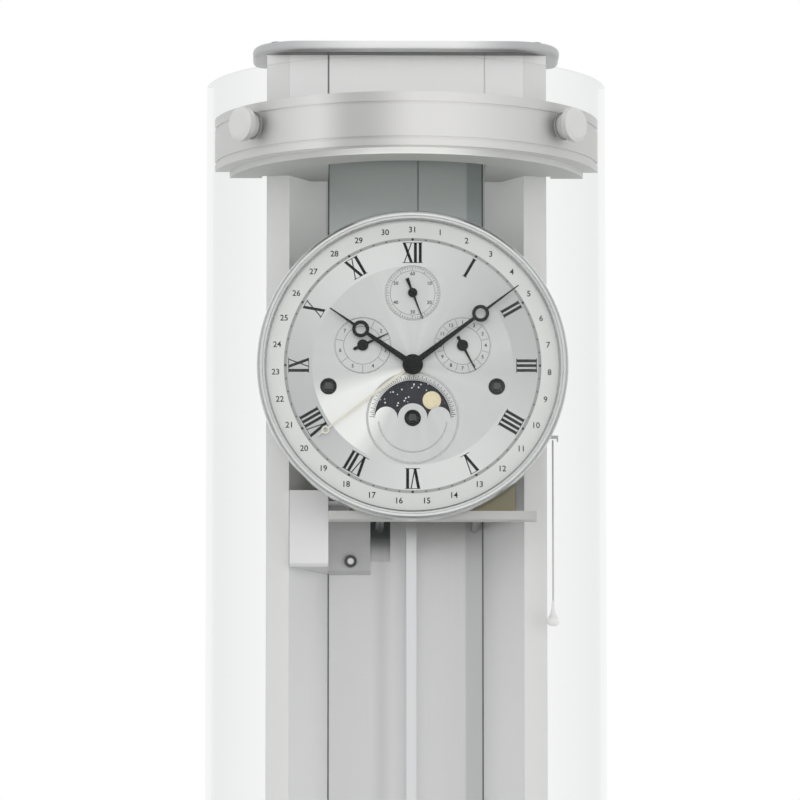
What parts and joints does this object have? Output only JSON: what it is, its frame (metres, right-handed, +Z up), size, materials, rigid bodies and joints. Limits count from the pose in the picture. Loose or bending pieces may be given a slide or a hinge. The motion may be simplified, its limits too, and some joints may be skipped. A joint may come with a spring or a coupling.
{
  "type": "wall clock",
  "caption": "Regulator wall clock with a bent-glass door, aluminium case, calendar and moon dial, spring movement and long swinging pendulum",
  "frame": {"origin": "centre of the hanger hole on the wall plane", "axes": "+X to the viewer's right, +Y into the wall, +Z up; the dial faces -Y"},
  "size_m": [0.2598, 0.1599, 1.0333],
  "materials": {
    "satin_aluminium": "satin",
    "bright_aluminium": "bright",
    "grey_board": "painted, matt",
    "pale_board": "painted, satin",
    "clear_glass": "clear",
    "knob_metal": "satin, turned",
    "grey_rubber": "matt",
    "steel": "bright",
    "movement_brass": "brushed",
    "winding_steel": "blacked",
    "dial_silver": "radial brushed",
    "black_hands": "satin black",
    "cream_hand": "pale, satin",
    "moon_paint": "printed night sky",
    "bob_metal": "nickelled, turned",
    "cord_fabric": "twisted cord",
    "white_bell": "gloss"
  },
  "bodies": {
    "case": {"back_panel": "bright_aluminium", "left_cheek": "satin_aluminium", "right_cheek": "satin_aluminium", "top_plate": "satin_aluminium", "bottom_plate": "satin_aluminium", "head_board": "grey_board", "base_board": "grey_board", "header_cover": "satin_aluminium", "hanger_bar": "steel", "door_brackets": "steel", "case_screws": "steel", "seat_board": "pale_board", "seat_posts": "steel", "gong_block": "bright_aluminium", "gong_rods": "steel", "hammer_shaft": "steel", "front_plate": "movement_brass", "back_plate": "movement_brass", "plate_pillars": "steel", "suspension_cock": "steel", "dial_plate": "dial_silver", "dial_posts": "steel", "bezel": "bright_aluminium", "winding_grommets": "black_hands"},
    "door": {"glass_front": "clear_glass", "upper_ring": "satin_aluminium", "lower_ring": "satin_aluminium", "knob_washers": "grey_rubber"},
    "knob_upper_left": {"knob_upper_left": "knob_metal"},
    "knob_upper_right": {"knob_upper_right": "knob_metal"},
    "knob_lower_left": {"knob_lower_left": "knob_metal"},
    "knob_lower_right": {"knob_lower_right": "knob_metal"},
    "minute": {"cannon_pinion": "steel", "minute_hand": "black_hands", "hand_nut": "black_hands"},
    "hour": {"hour_wheel": "movement_brass", "hour_hand": "black_hands"},
    "motion": {"minute_wheel": "movement_brass"},
    "escape": {"escape_wheel": "movement_brass", "seconds_hand": "black_hands"},
    "third": {"third_wheel": "movement_brass"},
    "centre": {"centre_wheel": "movement_brass"},
    "date": {"date_hand": "cream_hand"},
    "day": {"day_hand": "black_hands"},
    "month": {"month_hand": "black_hands"},
    "moon": {"moon_disc": "moon_paint"},
    "strike_wind": {"strike_winding_arbor": "winding_steel"},
    "chime_wind": {"chime_winding_arbor": "winding_steel"},
    "going_wind": {"going_winding_arbor": "winding_steel"},
    "strike_drum": {"strike_barrel": "movement_brass"},
    "chime_drum": {"chime_barrel": "movement_brass"},
    "going_drum": {"going_barrel": "movement_brass"},
    "pendulum": {"anchor": "steel", "pendulum_rod": "steel", "pendulum_bob": "bob_metal"},
    "rating": {"rating_nut": "movement_brass"},
    "hammers": {"chime_hammers": "movement_brass"},
    "lever": {"silence_lever": "steel"},
    "pull": {"pull_cord": "cord_fabric", "cord_bell": "white_bell"}
  },
  "joints": [
    {"name": "door_swing", "type": "hinge", "parent": "case", "child": "door", "pos_m": [-0.1119, -0.052, -0.4], "axis": [0, 0, -1], "range_deg": [0, 95]},
    {"name": "knob_upper_left_turn", "type": "hinge", "parent": "door", "child": "knob_upper_left", "pos_m": [-0.09967, -0.11423, 0.0377], "axis": [-0.7638, -0.6455, 0], "continuous": true},
    {"name": "knob_upper_right_turn", "type": "hinge", "parent": "door", "child": "knob_upper_right", "pos_m": [0.09967, -0.11423, 0.0377], "axis": [0.7638, -0.6455, 0], "continuous": true},
    {"name": "knob_lower_left_turn", "type": "hinge", "parent": "door", "child": "knob_lower_left", "pos_m": [-0.09967, -0.11423, -0.8579], "axis": [-0.7638, -0.6455, 0], "continuous": true},
    {"name": "knob_lower_right_turn", "type": "hinge", "parent": "door", "child": "knob_lower_right", "pos_m": [0.09967, -0.11423, -0.8579], "axis": [0.7638, -0.6455, 0], "continuous": true},
    {"name": "minute_turn", "type": "hinge", "parent": "case", "child": "minute", "pos_m": [0.0033, -0.095, -0.115], "axis": [0, 1, 0], "continuous": true},
    {"name": "hour_turn", "type": "hinge", "parent": "case", "child": "hour", "pos_m": [0.0033, -0.095, -0.115], "axis": [0, 1, 0], "continuous": true},
    {"name": "motion_turn", "type": "hinge", "parent": "case", "child": "motion", "pos_m": [0.0257, -0.095, -0.115], "axis": [0, 1, 0], "continuous": true},
    {"name": "escape_turn", "type": "hinge", "parent": "case", "child": "escape", "pos_m": [0.0033, -0.095, -0.068], "axis": [0, 1, 0], "continuous": true},
    {"name": "third_turn", "type": "hinge", "parent": "case", "child": "third", "pos_m": [-0.00713, -0.095, -0.09173], "axis": [0, 1, 0], "continuous": true},
    {"name": "centre_turn", "type": "hinge", "parent": "case", "child": "centre", "pos_m": [0.0033, -0.095, -0.115], "axis": [0, 1, 0], "continuous": true},
    {"name": "date_turn", "type": "hinge", "parent": "case", "child": "date", "pos_m": [0.0033, -0.095, -0.115], "axis": [0, 1, 0], "continuous": true},
    {"name": "day_turn", "type": "hinge", "parent": "case", "child": "day", "pos_m": [-0.0287, -0.095, -0.102], "axis": [0, 1, 0], "continuous": true},
    {"name": "month_turn", "type": "hinge", "parent": "case", "child": "month", "pos_m": [0.0353, -0.095, -0.102], "axis": [0, 1, 0], "continuous": true},
    {"name": "moon_turn", "type": "hinge", "parent": "case", "child": "moon", "pos_m": [0.0033, -0.095, -0.149], "axis": [0, 1, 0], "continuous": true},
    {"name": "strike_wind_turn", "type": "hinge", "parent": "case", "child": "strike_wind", "pos_m": [-0.0507, -0.095, -0.1286], "axis": [0, 1, 0], "range_deg": [0, 2520]},
    {"name": "chime_wind_turn", "type": "hinge", "parent": "case", "child": "chime_wind", "pos_m": [0.0573, -0.095, -0.1286], "axis": [0, 1, 0], "range_deg": [0, 2520]},
    {"name": "going_wind_turn", "type": "hinge", "parent": "case", "child": "going_wind", "pos_m": [0.0033, -0.095, -0.149], "axis": [0, 1, 0], "range_deg": [0, 2520]},
    {"name": "strike_drum_turn", "type": "hinge", "parent": "case", "child": "strike_drum", "pos_m": [-0.0507, -0.065, -0.1286], "axis": [0, 1, 0], "continuous": true},
    {"name": "chime_drum_turn", "type": "hinge", "parent": "case", "child": "chime_drum", "pos_m": [0.0573, -0.065, -0.1286], "axis": [0, 1, 0], "continuous": true},
    {"name": "going_drum_turn", "type": "hinge", "parent": "case", "child": "going_drum", "pos_m": [0.0033, -0.065, -0.149], "axis": [0, 1, 0], "continuous": true},
    {"name": "pendulum_swing", "type": "hinge", "parent": "case", "child": "pendulum", "pos_m": [0.0033, -0.038, -0.045], "axis": [0, 1, 0], "range_deg": [-1.4, 1.4]},
    {"name": "rating_turn", "type": "hinge", "parent": "pendulum", "child": "rating", "pos_m": [0.0033, -0.038, -0.788], "axis": [0, 0, 1], "continuous": true},
    {"name": "hammer_lift", "type": "hinge", "parent": "case", "child": "hammers", "pos_m": [-0.0407, -0.0225, -0.175], "axis": [0, -1, 0], "range_deg": [0, 12]},
    {"name": "pull_travel", "type": "slide", "parent": "case", "child": "pull", "axis": [0, 0, -1], "range_m": [0, 0.008], "stiffness_N_per_m": 60, "springref_m": -0.004},
    {"name": "lever_tilt", "type": "hinge", "parent": "case", "child": "lever", "pos_m": [0.064, -0.062, -0.158], "axis": [0, 1, 0], "range_deg": [0, 15.2]}
  ],
  "couplings": [
    {"joint": "hour_turn", "follows": "minute_turn", "ratio": 0.083333},
    {"joint": "motion_turn", "follows": "minute_turn", "ratio": -0.33333},
    {"joint": "third_turn", "follows": "escape_turn", "ratio": -0.125},
    {"joint": "centre_turn", "follows": "escape_turn", "ratio": 0.016667},
    {"joint": "lever_tilt", "follows": "pull_travel", "rad_per_m": 33}
  ]
}
